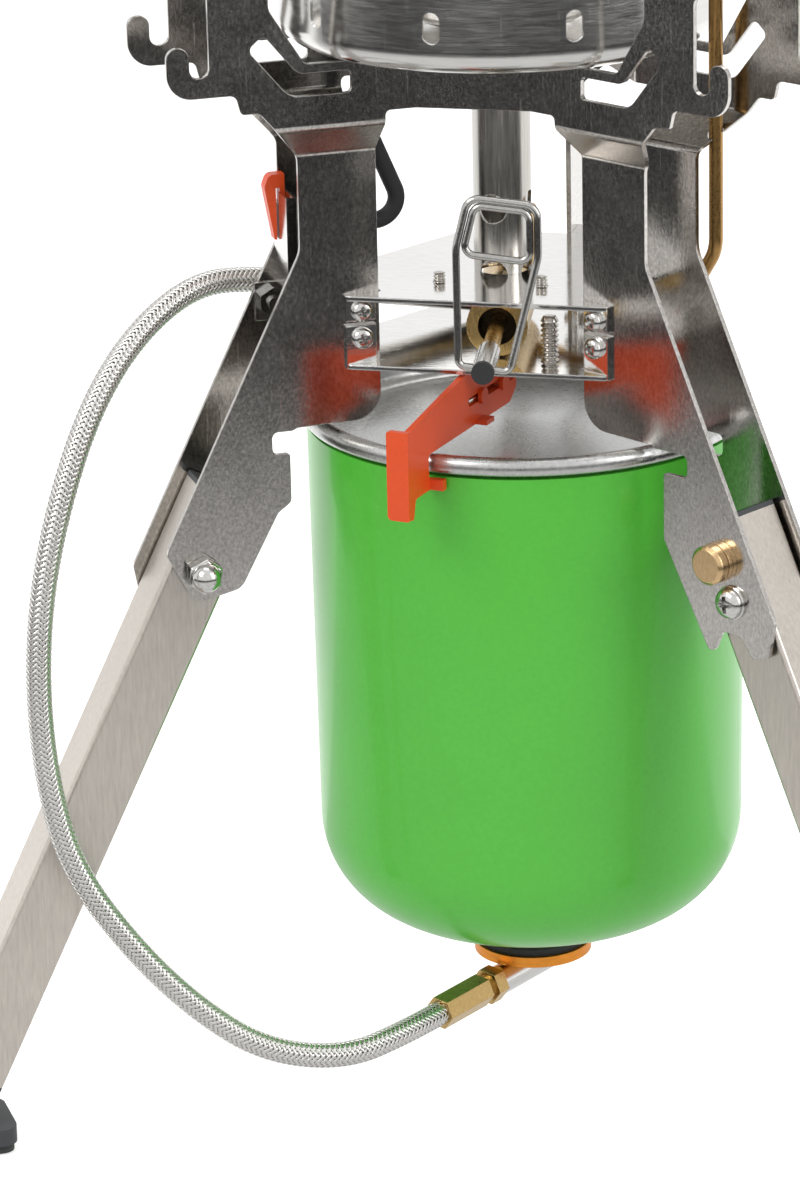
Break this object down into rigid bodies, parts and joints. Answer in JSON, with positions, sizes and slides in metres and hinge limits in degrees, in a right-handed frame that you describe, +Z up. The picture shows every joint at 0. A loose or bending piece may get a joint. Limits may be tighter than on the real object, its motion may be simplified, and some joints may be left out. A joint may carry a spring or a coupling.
{
  "type": "folding camping gas stove",
  "caption": "Folding tripod gas stove with bent steel side plates, a bowl burner, wire-handled valve, braided hose and an upturned gas cartridge.",
  "frame": {"origin": "point on the floor under the burner axis", "axes": "+Z up along the burner axis, -Y towards the valve handle, +X to the right seen from there"},
  "size_m": [0.2986, 0.2605, 0.312],
  "materials": {
    "stainless": "brushed",
    "bright_steel": "polished",
    "brass": "satin",
    "braid": "woven",
    "green_paint": "gloss",
    "can_base": "satin",
    "orange_paint": "satin",
    "orange_plastic": "gloss",
    "dark_plastic": "matte",
    "black_rubber": "matte",
    "foot_plastic": "matte",
    "ceramic": "glazed"
  },
  "bodies": {
    "frame": {"burner_bowl": "stainless", "burner_head": "stainless", "burner_tube": "stainless", "cartridge_base": "can_base", "cartridge_body": "green_paint", "clamp_screw": "bright_steel", "coupling_body": "stainless", "coupling_ring": "orange_paint", "coupling_seal": "black_rubber", "electrode_insulator": "ceramic", "fuel_hose": "braid", "hose_inlet": "stainless", "hose_nut": "brass", "hub_lower_plate": "stainless", "hub_screws": "bright_steel", "hub_studs": "bright_steel", "hub_upper_plate": "stainless", "igniter_body": "dark_plastic", "igniter_bolt": "bright_steel", "igniter_electrode": "bright_steel", "igniter_holder": "stainless", "igniter_lead": "black_rubber", "igniter_nut": "bright_steel", "jet_block": "brass", "latch_guide": "stainless", "latch_pins": "bright_steel", "latch_wire": "bright_steel", "leg_bolts": "bright_steel", "leg_nuts": "bright_steel", "leg_washers": "bright_steel", "lock_bushes": "bright_steel", "lower_ferrule": "brass", "preheat_tube": "brass", "side_plate_front": "stainless", "side_plate_left": "stainless", "side_plate_right": "stainless", "upper_ferrule": "brass", "valve_body": "brass"},
    "leg_left": {"leg_tube_left": "stainless", "leg_plug_left": "foot_plastic", "leg_foot_left": "foot_plastic", "foot_sole_left": "black_rubber"},
    "lock_left": {"lock_knob_left": "brass"},
    "leg_right": {"leg_tube_right": "stainless", "leg_plug_right": "foot_plastic", "leg_foot_right": "foot_plastic", "foot_sole_right": "black_rubber"},
    "lock_right": {"lock_knob_right": "brass"},
    "leg_back": {"leg_tube_back": "stainless", "leg_plug_back": "foot_plastic", "leg_foot_back": "foot_plastic", "foot_sole_back": "black_rubber"},
    "lock_back": {"lock_knob_back": "brass"},
    "control": {"valve_spindle": "brass", "spindle_sleeve": "bright_steel", "spindle_cap": "dark_plastic"},
    "handle": {"wire_handle": "bright_steel"},
    "button": {"igniter_button": "orange_plastic"},
    "latch": {"rim_latch": "orange_paint"}
  },
  "joints": [
    {"name": "fold_leg_left", "type": "hinge", "parent": "frame", "child": "leg_left", "pos_m": [-0.07032, -0.0406, 0.1466], "axis": [-0.5, 0.866, 0], "range_deg": [0, 85]},
    {"name": "pull_lock_left", "type": "slide", "parent": "frame", "child": "lock_left", "axis": [-0.5, 0.866, 0], "range_m": [0, 0.0025], "stiffness_N_per_m": 300},
    {"name": "fold_leg_right", "type": "hinge", "parent": "frame", "child": "leg_right", "pos_m": [0.07032, -0.0406, 0.1466], "axis": [-0.5, -0.866, 0], "range_deg": [0, 151]},
    {"name": "pull_lock_right", "type": "slide", "parent": "frame", "child": "lock_right", "axis": [-0.5, -0.866, 0], "range_m": [0, 0.0025], "stiffness_N_per_m": 300},
    {"name": "fold_leg_back", "type": "hinge", "parent": "frame", "child": "leg_back", "pos_m": [0, 0.0812, 0.1466], "axis": [1, 0, 0], "range_deg": [0, 151]},
    {"name": "pull_lock_back", "type": "slide", "parent": "frame", "child": "lock_back", "axis": [1, 0, 0], "range_m": [0, 0.0025], "stiffness_N_per_m": 300},
    {"name": "turn_valve", "type": "hinge", "parent": "frame", "child": "control", "pos_m": [0, 0, 0.2037], "axis": [-0.1288, 0.9917, 0], "range_deg": [0, 160]},
    {"name": "fold_handle", "type": "hinge", "parent": "control", "child": "handle", "pos_m": [0.00728, -0.05603, 0.2037], "axis": [0.9843, 0.1278, -0.1219], "range_deg": [0, 90]},
    {"name": "press_igniter", "type": "slide", "parent": "frame", "child": "button", "axis": [0, 0, -1], "range_m": [0, 0.003], "stiffness_N_per_m": 400},
    {"name": "slide_latch", "type": "slide", "parent": "frame", "child": "latch", "axis": [-0.2079, -0.9781, 0], "range_m": [0, 0.006], "stiffness_N_per_m": 300}
  ]
}
